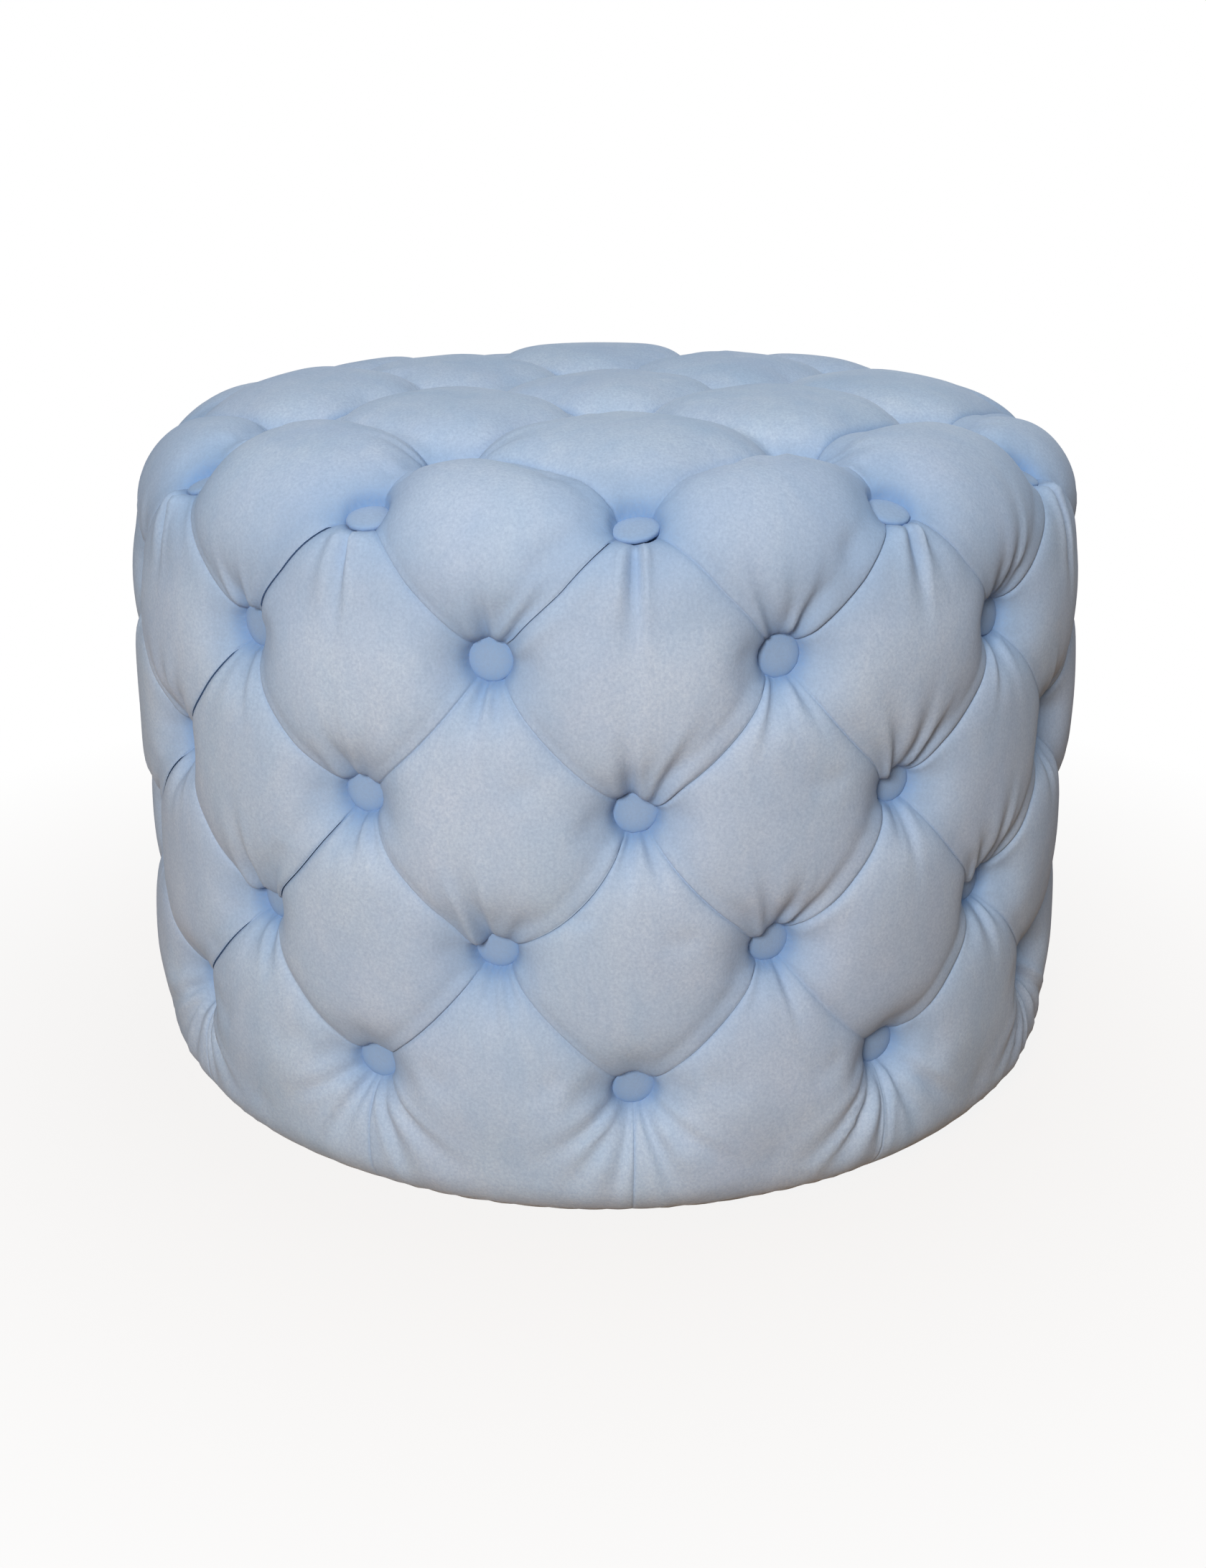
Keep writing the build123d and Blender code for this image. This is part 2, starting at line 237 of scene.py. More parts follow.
def unrolled(azimuth, distance, middle):
    """Chart of the side: the arc from a middle azimuth, and the distance, downwards."""
    return np.stack([half_turned(azimuth - middle) * SIDE_RADIUS * SIDE_STRETCH, -distance], -1)


def from_unrolled(points, middle):
    """Azimuth and distance of points on the side's chart."""
    return middle + points[:, 0] / (SIDE_RADIUS * SIDE_STRETCH), -points[:, 1]


def rounded(x):
    """Quarter circle from 0 at x = 0 to 1 at x = 1."""
    x = np.clip(x, 0, 1)
    return np.sqrt(np.maximum(1 - (1 - x) ** 2, 0))


def smooth(x):
    """Smooth step from 0 to 1."""
    x = np.clip(x, 0, 1)
    return x * x * (3 - 2 * x)


def bell(x):
    """Bell curve, 1 at x = 0."""
    return np.exp(-(x**2))


# Places of the buttons on the chart, as azimuth and distance
RIM_DISTANCE = SHOULDER_START + SHOULDER_ROUND * (np.pi / 2 - RIM_RISE)
places = {}
for i in range(COLUMNS):
    places["rim", i] = (i * STEP, RIM_DISTANCE)
    for row, level in enumerate(SIDE_LEVELS):
        places[f"side_{row + 1}", i] = (i * STEP + STEP / 2 * ((row + 1) % 2), side_distance(level))
    places["hem", i] = (i * STEP, HEM_END)
lattice = [(1, 0), (0, 1), (-1, 0), (0, -1)]
lattice += [(x * i, y * j) for x, y in ((1, 2), (2, 1)) for i in (-1, 1) for j in (-1, 1)]
for x, y in lattice:
    places["top", x, y] = (np.arctan2(x, -y), TOP_PITCH * np.hypot(x, y))

# Buttons' seats in space: point, outward normal, level direction
button_rows = ["top_inner", "top_outer", "rim", "side_1", "side_2", "side_3", "side_4"]
row_places = {name: [places[key] for key in places if key[0] == name] for name in button_rows[2:]}
row_places["top_inner"] = [places["top", x, y] for x, y in lattice[:4]]
row_places["top_outer"] = [places["top", x, y] for x, y in lattice[4:]]


def seat(azimuth, distance):
    """Point, outward normal and level direction of a button's seat."""
    here = on_drum(azimuth, distance, 0.0)
    out = on_drum(azimuth, distance, 1.0) - here
    level = np.array([np.cos(azimuth), np.sin(azimuth), 0.0])
    return here, out / np.linalg.norm(out), level


seats = {name: [seat(*place) for place in row_places[name]] for name in button_rows}
all_seats = [(name, *one) for name in button_rows for one in seats[name]]

# Puffs, as the buttons round each one
cells = []
for i in range(COLUMNS):
    j = (i + 1) % COLUMNS
    h = (i - 1) % COLUMNS
    cells.append([("side_3", i), ("side_4", j), ("hem", j), ("hem", i), ("side_4", i)])
    cells.append([("side_2", j), ("side_3", i), ("side_4", j), ("side_3", j)])
    cells.append([("side_1", i), ("side_2", i), ("side_3", i), ("side_2", j)])
    cells.append([("rim", i), ("side_1", h), ("side_2", i), ("side_1", i)])


def quarter(x, y, turns):
    """Name of a top button after quarter turns of the lattice."""
    for _ in range(turns):
        x, y = -y, x
    return ("top", x, y)


for q in range(4):
    k = 3 * q
    r = [("rim", (k + n) % COLUMNS) for n in range(4)]
    s = [("side_1", (k + n) % COLUMNS) for n in range(3)]
    cells.append([s[0], r[1], quarter(1, -2, q), r[0]])
    cells.append([s[1], r[2], quarter(2, -1, q), quarter(1, -2, q), r[1]])
    cells.append([s[2], r[3], quarter(2, -1, q), r[2]])
    cells.append([quarter(0, -1, q), quarter(-1, -2, q), r[0], quarter(1, -2, q)])
    cells.append([quarter(1, 0, q), quarter(0, -1, q), quarter(1, -2, q), quarter(2, -1, q)])
cells.append([("top", 0, -1), ("top", 1, 0), ("top", 0, 1), ("top", -1, 0)])

puff_size = rng.normal(1, PUFF_SPREAD, len(cells))
puff_lean = rng.normal(0, PUFF_SPREAD, (len(cells), 2))
corner_droop = {name: rng.uniform(0, DROOP[name], (COLUMNS, 2)) for name in DROOP}
pleats = {}
lap_sizes = {}


# Pleats and flaps


def pleat(start, end):
    """Pleat between two buttons on the chart, as azimuth and distance of its points.

    A straight line on the top's chart or on the side's, bowed down the side by a half sine.
    """
    along = np.linspace(0, 1, PLEAT_POINTS)
    bend = np.sin(np.pi * along)
    rows = (start[0], end[0])
    a, b = places[start], places[end]
    if "top" in rows:
        ends = flat(*np.array([a, b]).T)
        line = ends[0] + along[:, None] * (ends[1] - ends[0])
        across = np.array([ends[0][1] - ends[1][1], ends[1][0] - ends[0][0]])
        line += bend[:, None] * across * rng.normal(0, TOP_SWAY)
        azimuth, distance = from_flat(line)
        return np.unwrap(azimuth), distance
    azimuth = a[0] + along * half_turned(b[0] - a[0])
    distance = a[1] + along * (b[1] - a[1])
    if rows == ("hem", "hem"):
        return azimuth, distance
    if "hem" in rows:
        return azimuth + bend * rng.normal(0, HEM_SWAY) / SIDE_RADIUS, distance
    bow = rng.normal(RIM_BOW if "rim" in rows else SIDE_BOW, BOW_SPREAD)
    return azimuth + bend * rng.normal(0, SIDE_SWAY) / SIDE_RADIUS, distance + bow * bend


def pleat_between(start, end):
    """The pleat from one button to another; both of its puffs use the same line."""
    if (end, start) in pleats:
        azimuth, distance = pleats[end, start]
        return azimuth[::-1], distance[::-1]
    if (start, end) not in pleats:
        pleats[start, end] = pleat(start, end)
    return pleats[start, end]


def lap_of(start, end):
    """How far the puff over a pleat laps it, and a number that picks the side; one pair for each pleat.

    On the side the pleats that lean right are lapped most, and towards the top those that lean left.
    """
    key = tuple(sorted((start, end), key=str))
    if key not in lap_sizes:
        (azimuth, distance), (far_azimuth, far_distance) = places[start], places[end]
        leans_right = np.sin(far_azimuth - azimuth) * (far_distance - distance) < 0
        on_top = "top" in (start[0], end[0])
        size = rng.normal(STRONG_LAP if leans_right != on_top else WEAK_LAP, LAP_SPREAD)
        lap_sizes[key] = (np.clip(size, LEAST_LAP, MOST_LAP), rng.random())
    return lap_sizes[key]


def laps_over(index, start, end):
    """Whether a puff laps over its neighbour along a pleat: upper over lower, rim over top."""
    rows = (start[0], end[0])
    if rows == ("top", "top"):
        return (lap_of(start, end)[1] > 0.5) == (index % 2 > 0)
    middle = np.mean([places[start][1], places[end][1]])
    own = np.mean([places[corner][1] for corner in cells[index]])
    return own > middle if "top" in rows else own < middle


def distance_to_line(points, line):
    """Distance of flat points from a polyline, and the unit direction to its nearest point."""
    start, run = line[:-1], np.diff(line, axis=0)
    offset = points[:, None, :] - start
    along = np.clip((offset * run).sum(-1) / np.maximum((run * run).sum(-1), 1e-18), 0, 1)
    gap = along[..., None] * run - offset
    length = np.sqrt((gap * gap).sum(-1))
    pick = length.argmin(1)
    rows = np.arange(len(points))
    nearest = length[rows, pick]
    return nearest, gap[rows, pick] / np.maximum(nearest, 1e-9)[:, None]


# Puffs on the chart


def patch_steps(count, spread):
    """Steps from a pleat to a puff's middle: even ones, mixed with ones that are finer at the pleat."""
    t = np.linspace(0, 1, count + 1)
    return spread * (1 - np.cos(np.pi / 2 * t)) + (1 - spread) * t


def charts_of(cell):
    """The way onto a puff's chart and the way back: the top's chart, or the side's about its middle."""
    if any(corner[0] == "top" for corner in cell):
        return flat, from_flat
    spots = [places[corner][0] for corner in cell]
    middle = np.arctan2(np.mean(np.sin(spots)), np.mean(np.cos(spots)))
    return partial(unrolled, middle=middle), partial(from_unrolled, middle=middle)


def corner_patches(tracks, to_chart, centre, t):
    """Coons patches of one puff, each from a button along half of its two pleats to the puff's middle."""
    samples = np.arange(PLEAT_POINTS)
    halfway = t * (PLEAT_POINTS - 1) / 2
    a, b = t[:, None, None], t[None, :, None]
    patches = []
    for n in range(len(tracks)):
        low = to_chart(*[np.interp(halfway, samples, value) for value in tracks[n]])[:, None]
        left = to_chart(*[np.interp(halfway, samples, value[::-1]) for value in tracks[n - 1]])[None]
        corner, mid_low, mid_left = low[0, 0], low[-1, 0], left[0, -1]
        high = mid_left + a * (centre - mid_left)
        right = mid_low + b * (centre - mid_low)
        square = (1 - a) * (1 - b) * corner + a * (1 - b) * mid_low
        square = square + (1 - a) * b * mid_left + a * b * centre
        patches.append((1 - b) * low + b * high + (1 - a) * left + a * right - square)
    return np.array(patches)


def puff_patches(index, count, spread):
    """Corner patches of one puff on the chart, with its crown factor and its flaps.

    The crown factor is the product of a quarter circle over the distance from every pleat, and
    starts behind a flat flap where the puff laps over a pleat. A flap is lifted and shifted over it.
    Returns one array for each of the values that cover_arrays stacks.
    """
    cell = cells[index]
    total = len(cell)
    to_chart, from_chart = charts_of(cell)
    tracks = [pleat_between(cell[n], cell[(n + 1) % total]) for n in range(total)]
    lines = [to_chart(*track) for track in tracks]
    centre = np.mean([line[0] for line in lines], 0)
    patches = corner_patches(tracks, to_chart, centre, patch_steps(count, spread))
    free = np.ones(patches.shape[:3], bool)
    free[:, :, 0], free[:, 0, :] = False, False
    points, free = patches.reshape(-1, 2), free.ravel()
    crown = np.full(len(points), puff_size[index])
    gap = np.full(len(points), 1.0)
    lap = np.zeros(len(points))
    step = np.zeros(len(points))
    moved = points.copy()
    pleated = [n for n in range(total) if (cell[n][0], cell[(n + 1) % total][0]) != ("hem", "hem")]
    for n in pleated:
        start, end = cell[n], cell[(n + 1) % total]
        size = lap_of(start, end)[0]
        away, towards = distance_to_line(points, lines[n])
        lap = np.where(away < gap, size, lap)
        gap = np.minimum(gap, away)
        ends = [np.linalg.norm(points - lines[n][k], axis=1) for k in (0, -1)]
        flap = size * smooth((np.minimum(*ends) - FLAP_START) / FLAP_GROWTH) * free
        upper = laps_over(index, start, end)
        ledge = FLAP_WIDTH * flap if upper else 0.0
        crown *= rounded(np.maximum(away - ledge, FLAP_SLOPE * away) / PUFF_REACH)
        step += (1 if upper else UNDER_STEP) * FLAP_STEP * flap * bell(away / FLAP_STEP_REACH)
        if upper:
            part = away / FLAP_SHIFT_PLACE
            moved += towards * (FLAP_SHIFT * flap * part * np.exp(1 - part))[:, None]
    span = np.abs(points - centre).max(0)
    crown *= 1 + ((moved - centre) / span) @ puff_lean[index]
    if to_chart is not flat:
        crown *= 1 - PUFF_SAG * (moved - centre)[:, 1] / span[1]
    values = (*from_chart(moved), crown, gap, lap, step)
    made = [value.reshape(total, count + 1, count + 1) for value in values]
    crown, gap, lap = made[2:5]
    for n in pleated:
        nxt = (n + 1) % total
        size = lap_of(cell[n], cell[nxt])[0]
        crown[n, :, 0], gap[n, :, 0], lap[n, :, 0] = 0, 0, size
        crown[nxt, 0, :], gap[nxt, 0, :], lap[nxt, 0, :] = 0, 0, size
    return made


def cover_arrays(count, spread):
    """Stacks of all corner patches: azimuth, distance, crown factor, pleat gap, lap and flap step."""
    parts = [puff_patches(n, count, spread) for n in range(len(cells))]
    return [np.concatenate(values) for values in zip(*parts)]


# Rise of the cover


def fan_of_folds(name):
    """Directions, sizes and reach of the folds at one button of a row."""
    if name.startswith("side"):
        fans = LOWEST_FANS if name == "side_4" else SIDE_FANS
        turns = [fan.middle + rng.normal(0, fan.spread, len(fan.turns)) + fan.turns for fan in fans]
        sizes = [rng.uniform(*fan.sizes, len(fan.turns)) for fan in fans]
        reach = [rng.uniform(*fan.reach, len(fan.turns)) for fan in fans]
        return np.radians(np.concatenate(turns)), np.concatenate(sizes), np.concatenate(reach)
    if name == "rim":
        turns = RIM_FAN.middle + rng.normal(0, RIM_FAN.spread, len(RIM_FAN.turns))
        turns = turns + np.array(RIM_FAN.turns) * rng.choice([-1, 1])
        sizes = [rng.uniform(*RIM_FAN.sizes), RIM_SMALL_FOLD]
        return np.radians(turns), sizes, rng.uniform(*RIM_FAN.reach, len(RIM_FAN.turns))
    turns = np.radians(rng.uniform(0, 360, TOP_FOLDS))
    return turns, rng.uniform(*TOP_FOLD_SIZES, TOP_FOLDS), rng.uniform(*TOP_FOLD_REACH, TOP_FOLDS)


def gathers(points):
    """Short folds that fan out from the buttons: soft grooves, deepest close to the button.

    A fold runs from its button in one direction. Its depth is a bell curve across that direction,
    steeper on one side and with a low bank on both, and fades along it.
    """
    depth = np.zeros(len(points))
    for name, spot, out, level in all_seats:
        near = np.flatnonzero(np.abs(points - spot).max(1) < FAN_RADIUS)
        local = points[near] - spot
        x, y = local @ level, local @ np.cross(out, level)
        for turn, size, length in zip(*fan_of_folds(name)):
            ahead = x * np.cos(turn) + y * np.sin(turn)
            across = -x * np.sin(turn) + y * np.cos(turn)
            width = FOLD_WIDTH + FOLD_WIDENING * np.maximum(ahead, 0)
            width = np.where(across * np.sin(SIDE_SWAPS * turn) > 0, STEEP_SIDE, SHALLOW_SIDE) * width
            fade = smooth((ahead - FOLD_START) / FOLD_GROWTH)
            fade = fade * bell(np.maximum(ahead - FOLD_FULL, 0) / length)
            bank = bell((np.abs(across) - BANK_PLACE * width) / width)
            depth[near] += FOLD_DEPTH * size * fade * (bell(across / width) - BANK_SHARE * bank)
    return depth


def slow_noise(points, wave, count):
    """Sum of sines in random directions, about 1 high, with waves of about one length."""
    ways = rng.normal(0, 1, (count, 3))
    ways /= np.linalg.norm(ways, axis=1)[:, None]
    waves = wave * rng.uniform(*WAVE_SHARES, count)
    phase = rng.uniform(0, 2 * np.pi, count)
    return np.sin(2 * np.pi * (points @ ways.T) / waves + phase).sum(1) / np.sqrt(count)


def button_fields(valley):
    """Distance of points from the nearest button, the least slope of a dimple, and the rim's knots.

    A slope runs from 0 at a button's edge to 1 where its dimple ends; a knot is a bell both ways.
    """
    nearest = np.full(len(valley), 1.0)
    slope = np.full(len(valley), 1.0)
    knot = np.zeros(len(valley))
    for name, spot, out, level in all_seats:
        away = np.sqrt(((valley - spot) ** 2).sum(1))
        nearest = np.minimum(nearest, away)
        reach = RIM_DIMPLE_REACH if name == "rim" else DIMPLE_REACH
        slope = np.minimum(slope, (away - DIMPLE_START) / reach)
        if name == "rim":
            across, below = (valley - spot) @ level, (spot - valley) @ np.cross(out, level)
            knot += bell(across / KNOT_WIDTH) * bell((below - KNOT_DROP) / KNOT_HEIGHT)
    return nearest, slope, knot


def cover_rise(azimuth, distance, crown, gap, lap, step, seam=True):
    """Rise of the cover over the valleys' surface, and the distance from the nearest button.

    A dimple round every button rises to the pleats' height, each puff's crown rises from its pleats,
    and both fade out round the foot. With seam, the pleats' roots are drawn in and the folds added.
    """
    valley = on_drum(azimuth, distance, 0.0)
    nearest, slope, knot = button_fields(valley)
    top = smooth((SIDE_START + TOP_BLEND_START - distance) / TOP_BLEND)
    low = smooth((distance - side_distance(SIDE_LEVELS[-1]) - FOOT_BLEND_START) / FOOT_BLEND)
    edge_rise = SIDE_EDGE_RISE + (TOP_EDGE_RISE - SIDE_EDGE_RISE) * top + FOOT_EDGE_GAIN * low
    crown_rise = SIDE_CROWN + (TOP_CROWN - SIDE_CROWN) * top - FOOT_CROWN_LOSS * low
    shoulder = 1 - SHOULDER_LOSS * bell((distance - SHOULDER_MIDDLE) / SHOULDER_BAND)
    dimple = 1 - (1 - np.clip(slope, 0, 1)) ** DIMPLE_POWER
    under = np.clip((distance - FOOT_START) / (HEM_START - FOOT_START), 0, 1)
    fade = np.cos(np.pi / 2 * under) ** FOOT_FADE_POWER
    rise = (edge_rise * shoulder * dimple + crown_rise * shoulder * crown) * fade
    rise += KNOT_RISE * knot - HOLE_DEPTH * (1 - smooth((nearest - HOLE_EDGE) / HOLE_BLEND))
    waves = WAVE_RISE * slow_noise(valley, WAVE_LENGTH, WAVE_COUNT)
    rise += waves * fade * smooth((nearest - WAVE_START) / WAVE_BLEND)
    if seam:
        root = ROOT_DEPTH * lap * np.exp(-gap / ROOT_WIDTH)
        rise -= root * fade * smooth((nearest - ROOT_START) / ROOT_BLEND)
        rise += step * fade
        rise -= gathers(valley) * fade * smooth(gap / FOLD_PLEAT_GAP)
    return rise, nearest


def drooped(azimuth, distance):
    """Distances with the puffs' low corners let down over their buttons, by a bell to either side."""
    moved = distance.copy()
    for name in DROOP:
        for (spot_azimuth, spot_distance), amounts in zip(row_places[name], corner_droop[name]):
            arc = half_turned(azimuth - spot_azimuth) * SIDE_RADIUS
            above = bell((spot_distance - distance - DROOP_ABOVE) / DROOP_HEIGHT)
            for middle, amount in zip((-DROOP_ASIDE, DROOP_ASIDE), amounts):
                moved += amount * bell((arc - middle) / DROOP_WIDTH) * above
    return moved


def cover_points(azimuth, distance, rise):
    """Points of the cover over the chart, and the directions out of the drum at them."""
    outward = on_drum(azimuth, distance, 1.0) - on_drum(azimuth, distance, 0.0)
    return on_drum(azimuth, drooped(azimuth, distance), rise), outward


# Meshes


def halves(quads):
    """Two triangles for every quad, split from its first corner."""
    return np.concatenate([quads[:, [0, 1, 2]], quads[:, [0, 2, 3]]])


def patch_faces(count, total):
    """Triangles of square patches of count + 1 points each way, split along the line from the button."""
    first = np.arange(count)[:, None] * (count + 1) + np.arange(count)
    quad = np.stack([first, first + count + 1, first + count + 2, first + 1], -1).reshape(-1, 4)
    return halves((quad + (np.arange(total) * (count + 1) ** 2)[:, None, None]).reshape(-1, 4))


def turned_out(points, faces, outward):
    """Triangles with their order reversed where they face against the outward direction."""
    corners = points[faces]
    normal = np.cross(corners[:, 1] - corners[:, 0], corners[:, 2] - corners[:, 0])
    back = (normal * outward[faces].mean(1)).sum(1) < 0
    faces = faces.copy()
    faces[back] = faces[back][:, ::-1]
    return faces


def welded(points, faces):
    """Points with equal ones joined, to the micrometre: which points stay, and the faces on them."""
    keys = np.round(points / WELD_STEP + WELD_OFFSET).astype(np.int64)
    _, first, inverse = np.unique(keys, axis=0, return_index=True, return_inverse=True)
    inverse = inverse.reshape(-1)
    return first, inverse, inverse[faces]


def new_piece(name, points, faces, values=None, merge=0.0):
    """Mesh object from arrays of points and faces, with named point values; merge joins doubles."""
    mesh = bpy.data.meshes.new(name)
    size = faces.shape[1]
    mesh.vertices.add(len(points))
    mesh.vertices.foreach_set("co", np.asarray(points, np.float32).ravel())
    mesh.loops.add(faces.size)
    mesh.loops.foreach_set("vertex_index", np.asarray(faces, np.int32).ravel())
    mesh.polygons.add(len(faces))
    mesh.polygons.foreach_set("loop_start", np.arange(0, faces.size, size, dtype=np.int32))
    mesh.polygons.foreach_set("loop_total", np.full(len(faces), size, dtype=np.int32))
    mesh.update(calc_edges=True)
    for key, value in (values or {}).items():
        layer = mesh.attributes.new(key, "FLOAT", "POINT")
        layer.data.foreach_set("value", np.asarray(value, np.float32))
    if merge:
        shape = bmesh.new()
        shape.from_mesh(mesh)
        bmesh.ops.remove_doubles(shape, verts=shape.verts, dist=merge)
        bmesh.ops.dissolve_degenerate(shape, edges=shape.edges, dist=1e-7)
        shape.to_mesh(mesh)
        shape.free()
    mesh.polygons.foreach_set("use_smooth", np.ones(len(mesh.polygons), dtype=bool))
    mesh.validate()
    piece = bpy.data.objects.new(name, mesh)
    scene.collection.objects.link(piece)
    return piece


def spline_weights(at, count):
    """Weights of evenly spaced values for a cubic through them, at places from 0 to 1."""
    x = at * count
    i = np.clip(np.floor(x).astype(int), 0, count - 1)
    f = (x - i)[:, None]
    value = np.eye(count + 1)
    slope = np.gradient(value, axis=0)
    rise = f * f * (3 - 2 * f)
    levels = (1 - rise) * value[i] + rise * value[i + 1]
    return levels + f * (1 - f) ** 2 * slope[i] - f * f * (1 - f) * slope[i + 1]


def add_cloth(piece):
    """Cloth on a piece, held where its group says: some slack, pressed out, without weight."""
    cloth = piece.modifiers.new("cloth", "CLOTH")
    settings = cloth.settings
    settings.quality = 6
    settings.mass = 0.3
    settings.tension_stiffness = settings.compression_stiffness = 15
    settings.shear_stiffness = 8
    settings.bending_stiffness = 6
    settings.air_damping = 2
    settings.shrink_min = -0.006
    settings.use_pressure = True
    settings.uniform_pressure_force = 3
    settings.vertex_group_mass = "held"
    settings.effector_weights.gravity = 0
    cloth.collision_settings.use_collision = False
    cloth.collision_settings.use_self_collision = False
    cloth.point_cache.frame_start, cloth.point_cache.frame_end = 1, CLOTH_FRAMES


def swollen(count, cap):
    """How far cloth on the puffs moves when it is blown up: a cloth simulation on a coarse cover.

    The pleats, buttons and foot are held. Returns the moves of the coarse patches' points, none
    longer than the cap.
    """
    stacks = cover_arrays(count, 0.0)
    azimuth, distance, crown, gap, lap, step = [values.ravel() for values in stacks]
    rise, nearest = cover_rise(azimuth, distance, crown, gap, lap, step, seam=False)
    points, outward = cover_points(azimuth, distance, rise)
    faces = turned_out(points, patch_faces(count, len(stacks[0])), outward)
    first, inverse, faces = welded(points, faces)
    held = (gap < WELD_STEP) | (nearest < HELD_ROUND_BUTTON) | (distance > HEM_START - HELD_OVER_HEM)
    piece = new_piece("cover_cloth", points[first], faces)
    grip = piece.vertex_groups.new(name="held")
    grip.add(np.flatnonzero(held[first]).tolist(), 1.0, "REPLACE")
    add_cloth(piece)
    for number in range(1, CLOTH_FRAMES + 1):
        scene.frame_set(number)
    shaped = piece.evaluated_get(bpy.context.evaluated_depsgraph_get()).to_mesh()
    after = np.empty(len(first) * 3, np.float32)
    shaped.vertices.foreach_get("co", after)
    moves = after.reshape(-1, 3).astype(float) - points[first]
    mesh = piece.data
    bpy.data.objects.remove(piece)
    bpy.data.meshes.remove(mesh)
    scene.frame_set(1)
    length = np.linalg.norm(moves, axis=1)
    moves *= (cap * np.tanh(length / cap) / np.maximum(length, 1e-9))[:, None]
    return moves[inverse].reshape(*stacks[0].shape, 3)


def hidden_lining(ring, start):
    """Rings that close the cover inside: hem's upper face, cavity wall and cavity roof.

    The ring's azimuths are carried along the cavity's section; the roof is closed by a strip of quads.
    """
    azimuth, _ = from_flat(ring)
    section = [(HEM_INNER, HEM_TOP), (CAVITY_RADIUS, HEM_TOP)]
    section += [(CAVITY_RADIUS, CAVITY_LEVEL - CAVITY_EDGE), (CAVITY_RADIUS - CAVITY_EDGE, CAVITY_LEVEL)]
    total = len(ring)
    points = []
    for radius, level in section:
        points.append(np.column_stack([flat(azimuth, radius), np.full(total, level)]))
    here = np.arange(total)
    following = np.roll(here, -1)
    faces = []
    for n in range(len(section) - 1):
        low, high = start + n * total, start + (n + 1) * total
        faces.append(np.stack([low + here, low + following, high + following, high + here], -1))
    last = start + (len(section) - 1) * total
    k = np.arange(total // 2 - 1)
    faces.append(last + np.stack([k, k + 1, total - 2 - k, total - 1 - k], -1))
    return np.concatenate(points), np.concatenate(faces), start + here


def fold_shade(rise, distance, gap, lap):
    """Share of painted shade on the cover: what the rise lacks of a full puff, or a fall-off from lapped
    pleats.
    """
    full = 0.5 * (SIDE_EDGE_RISE + SIDE_CROWN + TOP_EDGE_RISE + TOP_CROWN)
    over_foot = smooth((HEM_START - FOOT_SHADE_START - distance) / FOOT_SHADE_BLEND)
    pleat_shade = np.clip(PLEAT_SHADE + LAP_SHADE * lap, 0, 1) * np.exp(-gap / PLEAT_SHADE_REACH)
    return np.maximum(np.clip(1 - rise / full, 0, 1) * over_foot, pleat_shade)


def make_cover():
    """The tufted cover: fine patches of all puffs, moved as the cloth moved, with a closed lining."""
    stacks = cover_arrays(EDGE_CELLS, EDGE_SPREAD)
    azimuth, distance, crown, gap, lap, step = [values.ravel() for values in stacks]
    rise, _ = cover_rise(azimuth, distance, crown, gap, lap, step)
    points, outward = cover_points(azimuth, distance, rise)
    moves = swollen(CLOTH_CELLS, CLOTH_CAP)
    weights = spline_weights(patch_steps(EDGE_CELLS, EDGE_SPREAD), CLOTH_CELLS)
    points += np.einsum("fa,pabk,gb->pfgk", weights, moves, weights).reshape(-1, 3)
    faces = turned_out(points, patch_faces(EDGE_CELLS, len(stacks[0])), outward)
    first, _, faces = welded(points, faces)
    # The fold value is the share of painted shade, bluer and darker, at each point of the cover; none on
    # the lining
    points, fold = points[first], fold_shade(rise, distance, gap, lap)[first]
    hem = np.flatnonzero(np.abs(np.hypot(points[:, 0], points[:, 1]) - HEM_INNER) < 1e-5)
    hem = hem[np.argsort(from_flat(points[hem])[0])]
    lining, lining_faces, lip = hidden_lining(points[hem], len(points))
    bridge = np.stack([hem, np.roll(hem, -1), np.roll(lip, -1), lip], -1)
    points = np.concatenate([points, lining])
    lining_faces = halves(np.concatenate([bridge, lining_faces]))
    inward = np.array(CAVITY_MIDDLE) - points
    inward[hem] = [0, 0, 0]
    inward[lip] = -points[lip] * [1, 1, 0]
    faces = np.concatenate([faces, turned_out(points, lining_faces, inward)])
    return new_piece("cover", points, faces, {"fold": np.concatenate([fold, np.zeros(len(lining))])})


def button_profile():
    """Radius and height shares of a covered button, ring by ring, its angles, and its quads.

    The dome's height is a power of the cosine over its half width; the edge tucks in to a flat back.
    """
    swing = np.linspace(0, np.pi / 2, BUTTON_RINGS)[:, None]
    turn = np.linspace(0, 2 * np.pi, BUTTON_SIDES, endpoint=False)[None]
    ring = np.ones((1, BUTTON_SIDES))
    out = np.concatenate([np.sin(swing) * ring, BUTTON_TUCK * ring, 0 * ring])
    back = BUTTON_BACK * ring
    height = np.concatenate([np.cos(swing) ** BUTTON_DOME_POWER * ring, back, back])
    rows = np.arange(BUTTON_RINGS + 1)[:, None] * BUTTON_SIDES
    first = rows + np.arange(BUTTON_SIDES)
    beside = rows + (np.arange(BUTTON_SIDES) + 1) % BUTTON_SIDES
    quads = np.stack([first, first + BUTTON_SIDES, beside + BUTTON_SIDES, beside], -1).reshape(-1, 4)
    return out, height, turn, quads


